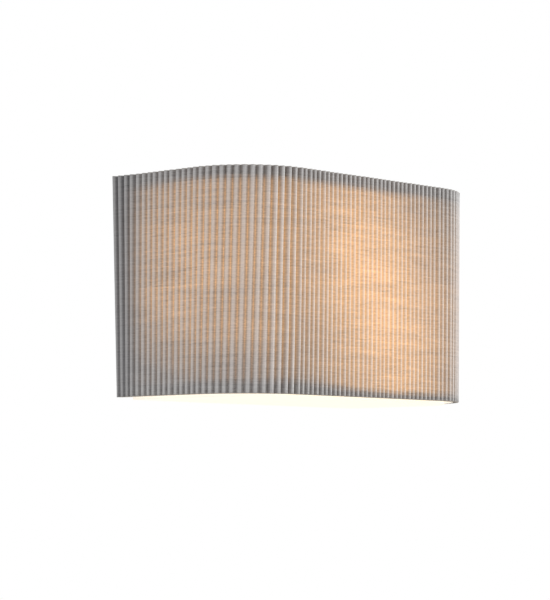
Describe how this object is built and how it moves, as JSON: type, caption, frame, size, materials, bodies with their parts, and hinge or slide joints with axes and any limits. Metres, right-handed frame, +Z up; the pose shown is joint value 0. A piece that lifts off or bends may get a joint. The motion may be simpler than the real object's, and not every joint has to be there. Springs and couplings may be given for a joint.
{
  "type": "fabric shade wall light",
  "caption": "Wall light with a rounded, pleated fabric shade hooked on a steel back tray, an opal diffuser resting in its lower edge and a lamp hanging cap-up inside.",
  "frame": {"origin": "on the wall plane, on the rear face of the back tray, at the middle of the shade's width and height", "axes": "+Z up, +Y into the wall, -Y into the room, +X to the right for someone facing the wall"},
  "size_m": [0.3, 0.15, 0.182],
  "materials": {
    "white_coated_steel": "white powder coat",
    "frame_steel": "white powder coat",
    "zinc_steel": "bright zinc plate",
    "brass": "bright brass",
    "nickel_brass": "satin nickel plate",
    "solder_tin": "soft solder",
    "white_nylon": "moulded",
    "natural_nylon": "moulded, natural colour",
    "brown_insulation": "extruded",
    "blue_insulation": "extruded",
    "green_yellow_insulation": "extruded",
    "white_thermoplastic": "moulded",
    "porcelain": "glazed",
    "pleated_cloth": "linen-look weave, pleated",
    "lining_film": "translucent lining film",
    "opal_acrylic": "opal, satin underside",
    "frosted_glass": "inside frosted",
    "black_glass": "black vitreous insulator"
  },
  "bodies": {
    "wall_unit": {"back_tray": "white_coated_steel", "hanging_pegs": "zinc_steel", "cover_standoffs": "zinc_steel", "cover_plate": "white_coated_steel", "cover_screws": "zinc_steel", "cable_bush": "white_nylon", "lead_bush": "white_nylon", "terminal_block": "natural_nylon", "terminal_tubes": "brass", "terminal_screws": "zinc_steel", "terminal_fixing_screws": "zinc_steel", "earth_stud": "zinc_steel", "earth_tag": "brass", "earth_washer": "zinc_steel", "earth_nut": "zinc_steel", "live_lead": "brown_insulation", "neutral_lead": "blue_insulation", "earth_lead": "green_yellow_insulation", "lamp_arm": "white_coated_steel", "arm_screws": "zinc_steel", "arm_washers": "zinc_steel", "arm_nuts": "zinc_steel", "holder_nipple": "zinc_steel", "nipple_nut": "zinc_steel", "lock_washer": "zinc_steel", "lampholder_cap": "white_thermoplastic", "lampholder_body": "white_thermoplastic", "contact_block": "porcelain", "centre_contact": "brass", "thread_sleeve": "nickel_brass"},
    "shade": {"pleated_cover": "pleated_cloth", "shade_liner": "lining_film", "top_band": "frame_steel", "bottom_band": "frame_steel", "upright_left": "frame_steel", "upright_right": "frame_steel", "diffuser_ledges": "frame_steel"},
    "diffuser": {"diffuser": "opal_acrylic"},
    "lamp": {"bulb_glass": "frosted_glass", "bulb_cap": "nickel_brass"},
    "lamp_tip": {"bulb_insulator": "black_glass", "bulb_contact": "solder_tin"}
  },
  "joints": [
    {"name": "shade_lift", "type": "slide", "parent": "wall_unit", "child": "shade", "axis": [0, 0, 1], "range_m": [0, 0.008]},
    {"name": "diffuser_lift", "type": "slide", "parent": "shade", "child": "diffuser", "axis": [0, 0, 1], "range_m": [0, 0.005]},
    {"name": "lamp_travel", "type": "slide", "parent": "wall_unit", "child": "lamp_tip", "axis": [0, 0, -1], "range_m": [0, 0.0109]},
    {"name": "lamp_turn", "type": "hinge", "parent": "lamp_tip", "child": "lamp", "pos_m": [0, -0.075, 0.02], "axis": [0, 0, -1], "range_deg": [0, 1080]}
  ],
  "couplings": [
    {"joint": "lamp_travel", "follows": "lamp_turn", "m_per_rad": 0.00057757}
  ]
}
